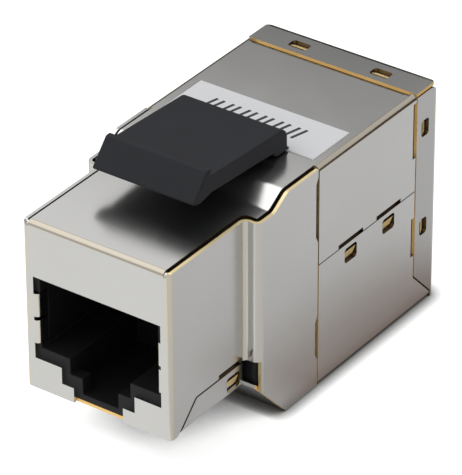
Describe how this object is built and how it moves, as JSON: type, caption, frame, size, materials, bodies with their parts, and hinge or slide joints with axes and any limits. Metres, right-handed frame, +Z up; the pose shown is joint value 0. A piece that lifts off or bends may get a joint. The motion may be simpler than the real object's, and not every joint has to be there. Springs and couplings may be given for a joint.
{
  "type": "keystone coupler",
  "caption": "Shielded keystone coupler: a folded metal box with a modular port at each end and a sprung black latch on top that clips it into a panel.",
  "frame": {"origin": "middle of the bounding box at its base, the plane that the bottom plate rests on", "axes": "+Y from the front port to the rear port, +Z up to the latch, +X to the right seen from the front"},
  "size_m": [0.0176, 0.0368, 0.0248],
  "materials": {
    "shield_metal": "bright nickel plate with bare cut edges",
    "jack_plastic": "moulded, satin",
    "latch_plastic": "moulded, fine grain",
    "contact_gold": "gold plate",
    "board_laminate": "coated laminate",
    "label_paper": "coated sticker"
  },
  "bodies": {
    "coupler": {"front_shield": "shield_metal", "bottom_shield": "shield_metal", "rear_cap": "shield_metal", "front_jack_housing": "jack_plastic", "rear_jack_housing": "jack_plastic", "front_contact_block": "jack_plastic", "rear_contact_block": "jack_plastic", "circuit_board": "board_laminate", "front_contact_1": "contact_gold", "front_contact_2": "contact_gold", "front_contact_3": "contact_gold", "front_contact_4": "contact_gold", "front_contact_5": "contact_gold", "front_contact_6": "contact_gold", "front_contact_7": "contact_gold", "front_contact_8": "contact_gold", "rear_contact_1": "contact_gold", "rear_contact_2": "contact_gold", "rear_contact_3": "contact_gold", "rear_contact_4": "contact_gold", "rear_contact_5": "contact_gold", "rear_contact_6": "contact_gold", "rear_contact_7": "contact_gold", "rear_contact_8": "contact_gold", "label": "label_paper"},
    "latch": {"latch": "latch_plastic"}
  },
  "joints": [
    {"name": "latch_press", "type": "hinge", "parent": "coupler", "child": "latch", "pos_m": [0, -0.0003, 0.02004], "axis": [1, 0, 0], "range_deg": [0, 8.5], "stiffness_Nm_per_rad": 0.4}
  ]
}
